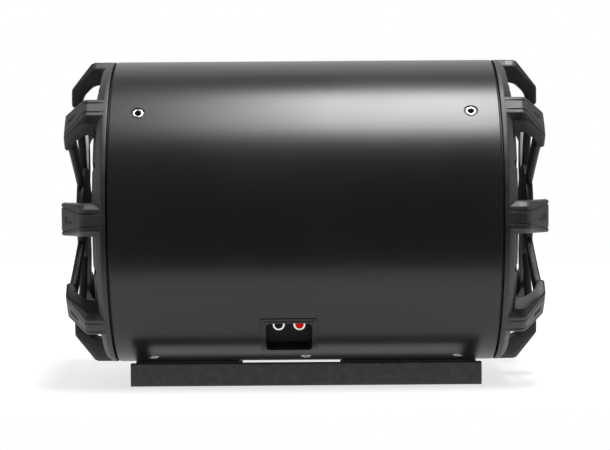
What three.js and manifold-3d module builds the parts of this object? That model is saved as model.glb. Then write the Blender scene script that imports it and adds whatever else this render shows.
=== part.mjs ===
// Car subwoofer in a round tube: a ten-inch woofer at the -X end, a passive radiator at the
// +X end, a terminal cup low on the rear (-Y) side and a folded steel cradle underneath.
// Millimetres, +Z up. The origin is the middle of the cradle's underside.
import * as THREE from 'three';
import { mergeVertices } from 'three/addons/utils/BufferGeometryUtils.js';
import { ConvexGeometry } from 'three/addons/geometries/ConvexGeometry.js';
import Module from 'manifold-3d';

const wasm = await Module();
wasm.setup();

// ---------------------------------------------------------------- driving dimensions
const GAP = 0.3; // clearance left between pieces that touch
const ROUND = 48; // facets of the large round pieces
const MEDIUM = 24; // facets of the pieces inside the end frames
const SMALL = 12; // facets of posts, screws and inserts

const TUBE_RADIUS = 150;
const TUBE_WALL = 8;
const TUBE_HALF = 186;
const AXIS_HEIGHT = 166.7;

const BAFFLE_DEPTH = 18;
const CUTOUT_RADIUS = 118.5;
const FLANGE_RADIUS = 133.7;
const FLANGE_FRONT = 190.3;

const GUARD_FRONT = 231.5; // outer plane of the arms
const ARM_COUNT = 8;
const ARM_WIDTH = 31;
const RING_FRONT = 198;
const RING_LIP = 202;
const RING_INNER = 122.3;
const HUB_RADIUS = 45;
const HUB_FRONT = 225.5;
const BADGE_RADIUS = 36;

const SCREW_COUNT = 8;
const SCREW_CIRCLE = 128;
const SCREW_HOLE = 2.8;
const SCREW_SEAT = 193.4;

const CONE_RADIUS = 101;
const COIL_RADIUS = 25.3;

const CRADLE_HALF = 171;
const CRADLE_DEPTH = 160;
const CRADLE_HEIGHT = 22.2;
const SHEET = 2.4;
const LIP = 10;
const WINDOW = [-66, 36]; // the stretch of the far flange that is cut away

const CUP_X = -16.3;
const CUP_ANGLE = -51.8; // degrees round the tube from the rear, up being positive
const CUP_WIDTH = 48.6;
const CUP_HEIGHT = 52.4;
const POST_PITCH = 20.2;
const POST_TILT = 34.3; // the posts lean up from the tube's normal
const POST_STROKE = 3.5;
const POST_FOOT = { v: -3.3, u: -22.9 }; // where the posts' axes cross their panel
const INSERT_REACH = 12;

// ---------------------------------------------------------------- materials
const finish = (color, roughness, metalness) => ({ color, roughness, metalness });
const SATIN_BLACK = finish(0x18191a, 0.42, 0);
const MOULDED_BLACK = finish(0x242526, 0.55, 0);
const POWDER_BLACK = finish(0x2a2b2b, 0.7, 0.2);
const RUBBER = finish(0x121212, 0.8, 0);
const CONE_BLACK = finish(0x161616, 0.5, 0);
const NICKEL = finish(0xd8d6cc, 0.25, 1);
const ZINC = finish(0xa9acad, 0.4, 1);
const FERRITE = finish(0x2c2b2d, 0.75, 0.1);
const BOARD = finish(0x8a6a48, 0.85, 0);
const BADGE_GREY = finish(0x6f7173, 0.35, 0.6);
const SPIDER_CLOTH = finish(0xc79a4b, 0.9, 0);
const COIL_COPPER = finish(0xa2592e, 0.4, 0.9);
const RED = finish(0xd80f12, 0.4, 0);
const BLACK = finish(0x0b0b0c, 0.4, 0);

// ---------------------------------------------------------------- closed shapes
// Merges shared corners, drops collapsed triangles and turns the faces outwards.
function closed(geometry) {
  const bare = geometry.clone();
  bare.deleteAttribute('normal');
  bare.deleteAttribute('uv');
  const merged = mergeVertices(bare, 1e-4);
  const corners = merged.attributes.position;
  const source = merged.index.array;
  const corner = (i) => new THREE.Vector3().fromBufferAttribute(corners, i);
  const kept = [];
  let volume = 0;
  for (let i = 0; i < source.length; i += 3) {
    const [a, b, c] = source.slice(i, i + 3);
    if (a !== b && b !== c && c !== a) {
      kept.push([a, b, c]);
      volume += corner(a).dot(corner(b).cross(corner(c)));
    }
  }
  const turned = volume < 0 ? kept.map(([a, b, c]) => [a, c, b]) : kept;
  merged.setIndex(turned.flat());
  return merged;
}

function solid(geometry) {
  const shape = closed(geometry);
  const mesh = new wasm.Mesh({
    numProp: 3,
    vertProperties: new Float32Array(shape.attributes.position.array),
    triVerts: new Uint32Array(shape.index.array),
  });
  return new wasm.Manifold(mesh);
}

function surface(manifold) {
  const mesh = manifold.getMesh();
  const geometry = new THREE.BufferGeometry();
  geometry.setAttribute('position', new THREE.BufferAttribute(mesh.vertProperties, 3));
  geometry.setIndex(new THREE.BufferAttribute(mesh.triVerts, 1));
  return geometry;
}

const cut = (body, tools) => tools.reduce((left, tool) => left.subtract(solid(tool)), body);
const join = (body, pieces) => pieces.reduce((sum, piece) => sum.add(solid(piece)), body);

// A profile of [along, radius] points turned about X; off the axis it closes on itself.
function turned(profile, facets = ROUND) {
  const points = profile.map(([along, radius]) => new THREE.Vector2(radius, along));
  if (points[0].x > 0) points.push(points[0].clone());
  const geometry = new THREE.LatheGeometry(points, facets);
  return geometry.rotateZ(-Math.PI / 2);
}

const rod = (from, to, radius, facets = SMALL) =>
  turned([[from, 0], [from, radius], [to, radius], [to, 0]], facets);

const outline = (points) => new THREE.Shape(points.map(([a, b]) => new THREE.Vector2(a, b)));
const AXES = ['x', 'y', 'z'].map((_, i) => new THREE.Vector3().setComponent(i, 1));
const [X, Y, Z] = AXES;

// A [y, z] outline carried from x0 to x1.
function prismX(points, x0, x1) {
  const geometry = new THREE.ExtrudeGeometry(outline(points), { depth: x1 - x0, bevelEnabled: false });
  geometry.applyMatrix4(new THREE.Matrix4().makeBasis(Y, Z, X));
  return geometry.translate(x0, 0, 0);
}

// An [x, z] outline carried across y, centred.
function prismY(points, width) {
  const geometry = new THREE.ExtrudeGeometry(outline(points), { depth: width, bevelEnabled: false });
  geometry.applyMatrix4(new THREE.Matrix4().makeBasis(X, Z, Y.clone().negate()));
  return geometry.translate(0, width / 2, 0);
}

// An upright block with rounded corners, from z0 to z1.
function roundedBlock(width, height, radius, z0, z1) {
  const [a, b] = [width / 2, height / 2];
  const shape = new THREE.Shape();
  shape.moveTo(-a + radius, -b);
  shape.lineTo(a - radius, -b);
  shape.absarc(a - radius, -b + radius, radius, -Math.PI / 2, 0);
  shape.absarc(a - radius, b - radius, radius, 0, Math.PI / 2);
  shape.absarc(-a + radius, b - radius, radius, Math.PI / 2, Math.PI);
  shape.absarc(-a + radius, -b + radius, radius, Math.PI, 1.5 * Math.PI);
  const options = { depth: z1 - z0, bevelEnabled: false, curveSegments: 4 };
  return new THREE.ExtrudeGeometry(shape, options).translate(0, 0, z0);
}

const hull = (points) => new ConvexGeometry(points.map(([x, y, z]) => new THREE.Vector3(x, y, z)));
const radians = THREE.MathUtils.degToRad;

// Copies of a shape round the X axis, the first turned by the given degrees.
function around(count, start, shape) {
  return Array.from({ length: count }, (_, i) => shape().rotateX(radians(start + (360 / count) * i)));
}

// Points of an arc, for profiles: angles in degrees, [along, radius] centre.
function arc([along, radius], size, from, to, steps) {
  return Array.from({ length: steps + 1 }, (_, i) => {
    const angle = radians(from + ((to - from) * i) / steps);
    return [along + size * Math.sin(angle), radius + size * Math.cos(angle)];
  });
}

// ---------------------------------------------------------------- scene helpers
function piece(name, geometry, look) {
  const mesh = new THREE.Mesh(closed(geometry), new THREE.MeshStandardMaterial(look));
  mesh.name = name;
  return mesh;
}

const built = (name, manifold, look) => piece(name, surface(manifold), look);

// A frame on the tube: Z points out of it at the given angle, Y runs up round it.
function tubeFrame(x, angle, radius = TUBE_RADIUS) {
  const group = new THREE.Group();
  const theta = radians(angle);
  group.position.set(x, -radius * Math.cos(theta), radius * Math.sin(theta));
  group.rotation.x = Math.PI / 2 - theta;
  group.updateMatrix();
  return group;
}

const toTube = (geometry, frame) => geometry.applyMatrix4(frame.matrix);

// ---------------------------------------------------------------- tube and its inserts
const INSERTS = {
  upper_left_insert: [-158.7, 42],
  upper_right_insert: [158.7, 42],
  lower_left_insert: [-150, -71],
  lower_middle_insert: [0, -71],
  lower_right_insert: [150, -71],
};

// Stands a shape that was turned about X up along Z.
const stoodUp = (geometry) => geometry.rotateY(-Math.PI / 2);

function insertHole(frame) {
  const seat = [[-1.2, 0], [-1.2, 5.95], [0, 7], [2, 8.8], [2, 0]];
  return [
    toTube(stoodUp(rod(-TUBE_WALL - 4, 2, 4.5)), frame),
    toTube(stoodUp(turned(seat, SMALL)), frame),
  ];
}

function threadedInsert(name) {
  const profile = [
    [-INSERT_REACH, 2.5], [-INSERT_REACH, 4.2], [-0.9, 4.2], [-0.9, 5.65],
    [-0.35, 5.65], [-0.1, 5.2], [-0.1, 3], [-0.6, 2.5],
  ];
  return piece(name, stoodUp(turned(profile, SMALL)), NICKEL);
}

function tubeShell() {
  const inner = TUBE_RADIUS - TUBE_WALL;
  const shell = solid(turned([
    [-TUBE_HALF, inner], [-TUBE_HALF, TUBE_RADIUS], [TUBE_HALF, TUBE_RADIUS], [TUBE_HALF, inner],
  ]));
  const cupFrame = tubeFrame(CUP_X, CUP_ANGLE);
  const cupHole = roundedBlock(CUP_WIDTH + 2 * GAP, CUP_HEIGHT + 2 * GAP, 0.4, -20, 6);
  const holes = Object.values(INSERTS).flatMap(([x, angle]) => insertHole(tubeFrame(x, angle)));
  return built('tube', cut(shell, [toTube(cupHole, cupFrame), ...holes]), SATIN_BLACK);
}

// ---------------------------------------------------------------- the two end guards
// One arm: out from the ring, down the slanted shoulder and a short way in along the front.
function guardArm() {
  const profile = [
    [192, 150.5], [208.5, 150.5], [211.5, 149], [GUARD_FRONT, 123.5], [GUARD_FRONT, 107],
    [224.5, 107], [222.4, 113], [220, 119], [212, 126.5], [204, 128], [192, 128.5],
  ];
  const half = ARM_WIDTH / 2 + 0.1;
  const shoulder = (side) => hull([
    [188, side * half, 151], [188, side * 10, 151], [188, side * half, 142],
    [212, side * half, 152], [212, side * 10, 152], [212, side * half, 142],
    [229, side * half, 128.5],
  ]);
  return surface(cut(solid(prismY(profile, ARM_WIDTH)), [shoulder(1), shoulder(-1)]));
}

// The spoke between an arm's foot and the hub, dished towards the speaker.
function guardSpoke() {
  const end = (front, back, radius, half) =>
    [front, back].flatMap((x) => [[x, half, radius], [x, -half, radius]]);
  return hull([...end(GUARD_FRONT - 0.6, 223.2, 112, 10), ...end(HUB_FRONT - 0.4, 219, 40, 6.5)]);
}

function screwHoles(from, to, radius) {
  const hole = () => rod(from, to, radius, 8).translate(0, 0, SCREW_CIRCLE);
  return around(SCREW_COUNT, 180 / SCREW_COUNT, hole);
}

function guard(name) {
  const seam = TUBE_RADIUS - TUBE_WALL - 0.5;
  const ring = turned([
    [187.9, TUBE_RADIUS], [192.5, TUBE_RADIUS], [RING_FRONT, 145], [RING_FRONT, 134],
    [RING_LIP, 130], [RING_LIP, 124], [RING_LIP - 1.5, RING_INNER],
    [FLANGE_FRONT + GAP, RING_INNER], [FLANGE_FRONT + GAP, FLANGE_RADIUS + GAP],
    [TUBE_HALF + GAP, FLANGE_RADIUS + GAP], [TUBE_HALF + GAP, seam], [187.9, seam],
  ]);
  const hub = turned([
    [218.5, 0], [218.5, HUB_RADIUS - 1], [219.5, HUB_RADIUS], [HUB_FRONT - 1, HUB_RADIUS],
    [HUB_FRONT, HUB_RADIUS - 1], [HUB_FRONT, BADGE_RADIUS + GAP], [223.9, BADGE_RADIUS + GAP], [223.9, 0],
  ], MEDIUM);
  const spokes = around(ARM_COUNT, 0, guardSpoke);
  const arms = around(ARM_COUNT, 0, guardArm);
  const body = join(solid(ring), [hub, ...spokes, ...arms]);
  const trimmed = body.intersect(solid(rod(180, 240, TUBE_RADIUS + 0.2, ROUND)));
  const holes = [...screwHoles(180, 196, SCREW_HOLE), ...screwHoles(SCREW_SEAT, RING_LIP + 2, 5)];
  return built(name, cut(trimmed, holes), MOULDED_BLACK);
}

function badge(name) {
  const profile = [
    [223.9 + GAP, 0], [223.9 + GAP, BADGE_RADIUS], [225.8, BADGE_RADIUS],
    [226.6, BADGE_RADIUS - 2], [227.4, BADGE_RADIUS / 2], [227.6, 0],
  ];
  return piece(name, turned(profile, MEDIUM), BADGE_GREY);
}

function mountingScrew(name, angle) {
  const shaft = turned([
    [172.5, 0], [175, 2.4], [SCREW_SEAT + GAP, 2.4], [SCREW_SEAT + GAP, 4.6],
    [196.9, 4.6], [196.9, 0],
  ], 8);
  return piece(name, shaft.translate(0, 0, SCREW_CIRCLE).rotateX(radians(angle)), ZINC);
}

function mountingScrews(prefix) {
  const step = 360 / SCREW_COUNT;
  return Array.from({ length: SCREW_COUNT }, (_, i) =>
    mountingScrew(`${prefix}_screw_${i + 1}`, step / 2 + step * i));
}

function baffle(name) {
  const outer = TUBE_RADIUS - TUBE_WALL - GAP;
  const [back, front] = [TUBE_HALF - BAFFLE_DEPTH, TUBE_HALF];
  const board = turned([[back, CUTOUT_RADIUS], [back, outer], [front, outer], [front, CUTOUT_RADIUS]]);
  return built(name, cut(solid(board), screwHoles(171.5, 190, SCREW_HOLE)), BOARD);
}

// The half-roll edge between a cone and its frame.
function surround(name) {
  const centre = [190.9, 109.3];
  const profile = [
    [187.9, 97.8], [189.2, 97.8], [189.2, 100.9],
    ...arc(centre, 8.4, 180, 7, 4), [192, 121.8], [190.6, 121.8],
    ...arc(centre, 7.1, 0, 180, 4), [187.9, 102.2],
  ];
  return piece(name, turned(profile, MEDIUM), RUBBER);
}

// ---------------------------------------------------------------- woofer
function basket() {
  const shell = turned([
    [FLANGE_FRONT, FLANGE_RADIUS], [TUBE_HALF + GAP, FLANGE_RADIUS], [TUBE_HALF + GAP, 118.2],
    [171, 114.6], [123.5, 77], [123.5, 66], [108.9, 66], [108.9, 30], [111.9, 30], [111.9, 63.5],
    [126, 63.5], [126, 75.5], [172.5, 111.8], [188, 115.5], [FLANGE_FRONT, 115.5],
  ], MEDIUM);
  const windowCut = () => new THREE.BoxGeometry(30, 50, 60).translate(149, 0, 100);
  const tools = [...around(6, 30, windowCut), ...screwHoles(180, 195, SCREW_HOLE)];
  return built('woofer_basket', cut(solid(shell), tools), POWDER_BLACK);
}

function spider() {
  const [inner, outer, waves] = [31, 61, 3];
  const mid = 126.7;
  const wave = (side) => Array.from({ length: waves * 4 + 1 }, (_, i) => {
    const share = i / (waves * 4);
    const lift = 1.6 * Math.sin(2 * Math.PI * waves * share);
    return [mid + side * 0.4 + lift, inner + (outer - inner) * share];
  });
  const profile = [
    [mid - 0.4, COIL_RADIUS + 0.9], ...wave(-1), [mid - 0.4, 73], [mid + 0.4, 73],
    ...wave(1).reverse(), [mid + 0.4, COIL_RADIUS + 0.9],
  ];
  return piece('woofer_spider', turned(profile, MEDIUM), SPIDER_CLOTH);
}

function voiceCoil() {
  const [inner, outer, wound] = [COIL_RADIUS - 0.6, COIL_RADIUS, COIL_RADIUS + 0.6];
  const profile = [
    [92, inner], [92, outer], [93, outer], [93, wound], [115, wound], [115, outer],
    [149, outer], [149, inner],
  ];
  return piece('woofer_voice_coil', turned(profile, MEDIUM), COIL_COPPER);
}

function cone() {
  const profile = [
    [147.5, 25.6], [150.5, 25.6], [157.8, 42], [187.6, 97.5], [187.6, CONE_RADIUS],
    [186, CONE_RADIUS], [185.2, 98.5], [155.5, 43],
  ];
  return piece('woofer_cone', turned(profile, MEDIUM), CONE_BLACK);
}

function dustCap() {
  const [crown, rim, dome] = [175.2, 45, 78.4];
  const reach = THREE.MathUtils.radToDeg(Math.asin(rim / dome));
  const shell = (size) => arc([crown - dome, 0], size, 90 - reach, 90, 4);
  const profile = [...shell(dome), ...shell(dome - 1.4).reverse()];
  return piece('woofer_dust_cap', turned(profile, MEDIUM), CONE_BLACK);
}

function motor() {
  const topPlate = [[100.6, 26.6], [100.6, 70], [108.6, 70], [108.6, 26.6]];
  const magnet = [[78.3, 32], [78.3, 74], [79.3, 75], [99.3, 75], [100.3, 74], [100.3, 32]];
  const yoke = [[66, 10], [66, 68], [68, 70], [78, 70], [78, 24], [112, 24], [112, 10]];
  return [
    piece('woofer_top_plate', turned(topPlate, MEDIUM), ZINC),
    piece('woofer_magnet', turned(magnet, MEDIUM), FERRITE),
    piece('woofer_back_plate', turned(yoke, MEDIUM), ZINC),
  ];
}

// ---------------------------------------------------------------- passive radiator
function radiatorFrame() {
  const ring = turned([
    [FLANGE_FRONT, FLANGE_RADIUS], [TUBE_HALF + GAP, FLANGE_RADIUS], [TUBE_HALF + GAP, 118.2],
    [171, 115.5], [171, 112.5], [188, 115.5], [FLANGE_FRONT, 115.5],
  ], MEDIUM);
  return built('radiator_frame', cut(solid(ring), screwHoles(180, 195, SCREW_HOLE)), POWDER_BLACK);
}

function diaphragm() {
  const front = [[187.6, CONE_RADIUS], [187.6, 97.5], [179, 72], [176.6, 45], [178.4, 24], [179, 0]];
  const back = [[176.6, 0], [176, 24], [174.2, 45], [176.6, 73], [185.4, 99], [186, CONE_RADIUS]];
  return piece('radiator_diaphragm', turned([...front, ...back], MEDIUM), CONE_BLACK);
}

function weight() {
  const profile = [
    [162, 0], [162, 5], [166, 5], [166, 29], [167, 30], [173.4, 30], [173.4, 0],
  ];
  return piece('radiator_weight', turned(profile, MEDIUM), ZINC);
}

// ---------------------------------------------------------------- terminal cup
// In the cup's own frame X is across, Y (v) runs up round the tube and Z (u) points out.
const RECESS = [[-24.2, 6], [-24.2, -10.5], [-17.1, -13.5], [20, -38.8], [24.2, -36], [24.2, 6]];
const SHELL = [[-26.2, 4], [-26.2, -12.5], [-18.3, -15.9], [19.4, -41.6], [26.2, -37.5], [26.2, 4]];
const POST_AXIS = new THREE.Vector3(0, Math.sin(radians(POST_TILT)), Math.cos(radians(POST_TILT)));
const BEZEL = [TUBE_RADIUS + GAP, TUBE_RADIUS + 1.3];

// A frame on the posts' panel, with X pointing out along the post.
function postFrame(side) {
  const group = new THREE.Group();
  group.position.set((side * POST_PITCH) / 2, POST_FOOT.v, POST_FOOT.u);
  group.quaternion.setFromUnitVectors(X, POST_AXIS);
  group.updateMatrix();
  return group;
}

function terminalCup() {
  const frame = tubeFrame(CUP_X, CUP_ANGLE);
  const inverse = frame.matrix.clone().invert();
  const across = (radius) => rod(CUP_X - 30, CUP_X + 30, radius, ROUND).applyMatrix4(inverse);
  const skin = solid(across(BEZEL[1])).subtract(solid(across(BEZEL[0])));
  const bezel = skin.intersect(solid(roundedBlock(56, 59, 5, -12, 6)));
  const half = CUP_WIDTH / 2;
  const body = solid(prismX(SHELL, -half, half)).intersect(solid(across(BEZEL[1])));
  const recess = solid(prismX(RECESS, 2 - half, half - 2))
    .intersect(solid(roundedBlock(CUP_WIDTH - 4, 48.4, 6, -45, 8)));
  const holes = [-1, 1].map((side) => rod(-9, 4, 3.7).applyMatrix4(postFrame(side).matrix));
  return built('terminal_cup', cut(bezel.add(body).subtract(recess), holes), MOULDED_BLACK);
}

class Helix extends THREE.Curve {
  constructor(radius, from, to, turns) {
    super();
    Object.assign(this, { radius, from, to, turns });
  }

  getPoint(t, target = new THREE.Vector3()) {
    const angle = 2 * Math.PI * this.turns * t;
    const along = this.from + (this.to - this.from) * t;
    return target.set(along, this.radius * Math.cos(angle), this.radius * Math.sin(angle));
  }
}

function sweep(path, radius, sides, steps) {
  const section = outline(Array.from({ length: sides }, (_, i) => {
    const angle = (2 * Math.PI * i) / sides;
    return [radius * Math.cos(angle), radius * Math.sin(angle)];
  }));
  return new THREE.ExtrudeGeometry(section, { steps, extrudePath: path, bevelEnabled: false });
}

// A spring-loaded post: a fixed stem, a nickel cap that pushes in and its coloured centre.
function pushPost(colour, side, look) {
  const group = postFrame(side);
  const stem = [[-8, 0], [-8, 3.1], [-7.5, 3.4], [5.3, 3.4], [5.8, 2.9], [5.8, 0]];
  const cap = [
    [9.6, 0], [9.6, 5.5], [1.3 + POST_STROKE, 5.5], [1.3 + POST_STROKE, 6.25],
    [12.3, 6.25], [13, 5.6], [13, 4.3], [12.6, 3.95], [10.4, 3.95], [10.4, 0],
  ];
  const centre = [[10.7, 0], [10.7, 3.65], [12.1, 3.65], [12.6, 2.6], [12.7, 0]];
  group.add(
    piece(`${colour}_post_stem`, turned(stem, SMALL), NICKEL),
    piece(`${colour}_post_cap`, turned(cap, SMALL), NICKEL),
    piece(`${colour}_post_centre`, turned(centre, SMALL), look),
    piece(`${colour}_post_spring`, sweep(new Helix(4.45, 0.75, 9.0, 4.5), 0.35, 4, 36), ZINC),
  );
  return group;
}

// ---------------------------------------------------------------- inner wiring
// Routes in the frame at the tube's axis turned to the cup's angle: [x, round, outwards].
const STRIP = { x: [-122, -110], half: 12, out: [66.6, 78], lead: 5, level: 73 };

function wire(colour, side, route, look) {
  const start = postFrame(side).localToWorld(new THREE.Vector3(-8.3, 0, 0));
  const away = postFrame(side).localToWorld(new THREE.Vector3(-12, 0, 0));
  const outwards = (p) => [p.x + CUP_X, p.y, p.z + TUBE_RADIUS];
  const end = [STRIP.x[1] + GAP, side * STRIP.lead, STRIP.level];
  const approach = [STRIP.x[1] + 5, side * STRIP.lead, STRIP.level + 0.3];
  const points = [outwards(start), outwards(away), ...route, approach, end];
  const path = new THREE.CatmullRomCurve3(points.map((p) => new THREE.Vector3(...p)));
  return piece(`${colour}_wire`, sweep(path, 1.7, 8, 18), look);
}

function wiring() {
  const group = tubeFrame(0, CUP_ANGLE, 0);
  const strip = new THREE.BoxGeometry(
    STRIP.x[1] - STRIP.x[0], 2 * STRIP.half, STRIP.out[1] - STRIP.out[0],
  ).translate((STRIP.x[0] + STRIP.x[1]) / 2, 0, (STRIP.out[0] + STRIP.out[1]) / 2);
  group.add(
    piece('woofer_terminal_strip', strip, POWDER_BLACK),
    wire('black', -1, [[-38, -17, 108], [-60, -16, 106], [-82, -10, 98], [-97, -6, 85]], BLACK),
    wire('red', 1, [[-22, -12, 106], [-52, -3, 104], [-82, 2, 97], [-97, 4.6, 85]], RED),
  );
  return group;
}

// ---------------------------------------------------------------- cradle
const SADDLES = { left_saddle: [-170, WINDOW[0] - 1], right_saddle: [WINDOW[1] + 1, 170] };
const SADDLE_HALF = 22;

const screwSpots = Object.values(SADDLES).flatMap(([x0, x1]) => {
  const [middle, reach] = [(x0 + x1) / 2, (x1 - x0) / 2 - 18];
  return [middle - reach, middle + reach];
});

function cradle() {
  const half = CRADLE_DEPTH / 2;
  const bend = (side, radius, inset) => [0, 30, 60, 90].map((step) => {
    const angle = radians(side > 0 ? 270 + step : 180 + step);
    const centre = [side * (half - 3), 3];
    return [centre[0] + (radius - inset) * Math.cos(angle), centre[1] + (radius - inset) * Math.sin(angle)];
  });
  const inside = half - SHEET;
  const under = CRADLE_HEIGHT - SHEET;
  const section = [
    ...bend(-1, 3, 0), ...bend(1, 3, 0),
    [half, CRADLE_HEIGHT], [half - LIP, CRADLE_HEIGHT], [half - LIP, under], [inside, under],
    [inside, SHEET], [-inside, SHEET],
    [-inside, under], [LIP - half, under], [LIP - half, CRADLE_HEIGHT], [-half, CRADLE_HEIGHT],
  ];
  const opening = new THREE.BoxGeometry(WINDOW[1] - WINDOW[0], 2 * LIP + 4, CRADLE_HEIGHT)
    .translate((WINDOW[0] + WINDOW[1]) / 2, half, CRADLE_HEIGHT / 2 + SHEET + 0.2);
  const holes = screwSpots.map((x) =>
    stoodUp(turned([[-1, 0], [-1, 5.6], [SHEET + 0.1, 2.8], [5, 2.8], [5, 0]], SMALL)).translate(x, 0, 0));
  const slots = [-46, 46].map((y) => new THREE.BoxGeometry(312, 42, 10).translate(0, y, SHEET / 2));
  const body = solid(prismX(section, -CRADLE_HALF, CRADLE_HALF));
  return built('cradle', cut(body, [opening, ...slots, ...holes]), POWDER_BLACK);
}

function saddle(name, [x0, x1]) {
  const floor = SHEET + GAP;
  const block = [[-SADDLE_HALF, floor], [SADDLE_HALF, floor], [SADDLE_HALF, 30], [-SADDLE_HALF, 30]];
  const tube = rod(x0 - 5, x1 + 5, TUBE_RADIUS + GAP + 0.15, ROUND).translate(0, 0, AXIS_HEIGHT);
  const spots = screwSpots.filter((x) => x > x0 && x < x1);
  const holes = spots.map((x) => stoodUp(rod(0, 12.4, 2.8)).translate(x, 0, 0));
  return built(name, cut(solid(prismX(block, x0, x1)), [tube, ...holes]), RUBBER);
}

function cradleScrew(name, x) {
  const profile = [[0.25, 0], [0.25, 4.6], [SHEET, 2.5], [11.4, 2.5], [12, 1.9], [12, 0]];
  return piece(name, stoodUp(turned(profile, SMALL)).translate(x, 0, 0), ZINC);
}

// ---------------------------------------------------------------- assembly
function end(side, pieces) {
  const group = new THREE.Group();
  group.rotation.z = side < 0 ? Math.PI : 0;
  group.add(...pieces);
  return group;
}

const enclosure = new THREE.Group();
enclosure.position.z = AXIS_HEIGHT;
enclosure.add(tubeShell());

for (const [name, [x, angle]] of Object.entries(INSERTS)) {
  const frame = tubeFrame(x, angle);
  frame.add(threadedInsert(name));
  enclosure.add(frame);
}

enclosure.add(end(-1, [
  baffle('woofer_baffle'), basket(), spider(), voiceCoil(), cone(), dustCap(),
  surround('woofer_surround'), ...motor(), guard('woofer_guard'), badge('woofer_badge'),
  ...mountingScrews('woofer'),
]));
enclosure.add(end(1, [
  baffle('radiator_baffle'), radiatorFrame(), diaphragm(), weight(), surround('radiator_surround'),
  guard('radiator_guard'), badge('radiator_badge'), ...mountingScrews('radiator'),
]));

const cupFrame = tubeFrame(CUP_X, CUP_ANGLE);
cupFrame.add(terminalCup(), pushPost('black', -1, BLACK), pushPost('red', 1, RED));
enclosure.add(cupFrame, wiring());

const base = new THREE.Group();
base.add(cradle());
for (const [name, span] of Object.entries(SADDLES)) base.add(saddle(name, span));
screwSpots.forEach((x, i) => base.add(cradleScrew(`cradle_screw_${i + 1}`, x)));

const subwoofer = new THREE.Group();
subwoofer.add(enclosure, base);
export default subwoofer;
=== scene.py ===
from math import cos, pi, radians, sin

import bmesh
import bpy
import numpy as np
from mathutils import Matrix, Vector


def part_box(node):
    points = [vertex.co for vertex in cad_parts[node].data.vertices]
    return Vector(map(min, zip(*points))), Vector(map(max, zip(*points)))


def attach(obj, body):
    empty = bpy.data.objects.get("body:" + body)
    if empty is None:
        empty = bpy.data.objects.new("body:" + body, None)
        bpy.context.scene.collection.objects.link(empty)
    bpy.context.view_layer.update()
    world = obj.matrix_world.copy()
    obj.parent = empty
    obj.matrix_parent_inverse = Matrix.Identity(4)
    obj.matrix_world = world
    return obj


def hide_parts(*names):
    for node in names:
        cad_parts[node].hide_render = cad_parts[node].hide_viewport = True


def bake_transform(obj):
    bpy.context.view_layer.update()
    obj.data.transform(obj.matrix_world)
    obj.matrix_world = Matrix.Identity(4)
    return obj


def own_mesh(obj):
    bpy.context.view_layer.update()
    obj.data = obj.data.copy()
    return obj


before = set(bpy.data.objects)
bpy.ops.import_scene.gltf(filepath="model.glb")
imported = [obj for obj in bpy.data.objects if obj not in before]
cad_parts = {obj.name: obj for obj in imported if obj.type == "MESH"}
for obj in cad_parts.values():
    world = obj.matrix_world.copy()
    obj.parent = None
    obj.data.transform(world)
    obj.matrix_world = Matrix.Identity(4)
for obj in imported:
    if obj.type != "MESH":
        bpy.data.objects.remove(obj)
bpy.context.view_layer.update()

# ---------------------------------------------------------------- tube
# A spiral-wound pressed-paper tube, 8 mm thick, with a smooth satin black skin rolled on to it.
# Its ends are cut square, and the terminal cup and five thread inserts go through its wall.
tube_low, tube_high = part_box("tube")
axis_height = (tube_low.z + tube_high.z) / 2
tube_radius = (tube_high.z - tube_low.z) / 2
tube_half = tube_high.x


def shaded(piece, sharp):
    """Smooth shading, with every edge that turns more than `sharp` degrees kept crisp."""
    piece.data.shade_smooth()
    piece.data.set_sharp_from_angle(angle=radians(sharp))
    return piece


def closed_piece(name, points, faces, sharp, merge=False):
    """An object from points in metres and lists of corners: its faces point outwards, and where its
    ends meet in a point or a seam, `merge` makes one point of those that fall together."""
    mesh = bpy.data.meshes.new(name)
    mesh.from_pydata(points.tolist(), [], faces)
    work = bmesh.new()
    work.from_mesh(mesh)
    if merge:
        bmesh.ops.remove_doubles(work, verts=work.verts, dist=1e-6)
    bmesh.ops.recalc_face_normals(work, faces=work.faces)
    work.to_mesh(mesh)
    work.free()
    piece = bpy.data.objects.new(name, mesh)
    bpy.context.scene.collection.objects.link(piece)
    return shaded(piece, sharp)


def grid_faces(rows, columns):
    """Quads of a grid that closes on itself both ways."""
    i, j = np.meshgrid(np.arange(rows), np.arange(columns), indexing="ij")
    up, on = (i + 1) % rows, (j + 1) % columns
    corners = [i * columns + j, up * columns + j, up * columns + on, i * columns + on]
    return np.stack(corners, -1).reshape(-1, 4).tolist()


def rod_faces(rows, columns):
    """The same grid left open from its last row to its first, with a cap on each of those two."""
    ends = [list(range(columns)), list(range((rows - 1) * columns, rows * columns))]
    return grid_faces(rows, columns)[:(rows - 1) * columns] + ends


def rounded(corners, radius, steps=4):
    """A closed outline with each corner swapped for the parabola B(t) = (1-t)^2 A + 2t(1-t) P + t^2 C,
    where P is the corner and A and C lie `radius` back along its sides, or less on a short side."""
    p = np.asarray(corners, float)
    radius = np.broadcast_to(np.asarray(radius, float), p.shape[:-1])[..., None]
    back, ahead = np.roll(p, 1, -2) - p, np.roll(p, -1, -2) - p
    long_back = np.linalg.norm(back, axis=-1, keepdims=True) + 1e-12
    long_ahead = np.linalg.norm(ahead, axis=-1, keepdims=True) + 1e-12
    a = p + back / long_back * np.minimum(radius, 0.45 * long_back)
    c = p + ahead / long_ahead * np.minimum(radius, 0.45 * long_ahead)
    t = np.linspace(0, 1, steps + 1)[:, None]
    arcs = (1 - t) ** 2 * a[..., None, :] + 2 * t * (1 - t) * p[..., None, :] + t**2 * c[..., None, :]
    return arcs.reshape(*p.shape[:-2], -1, p.shape[-1])


tube_axis = Matrix.Translation((0, 0, axis_height))


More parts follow.
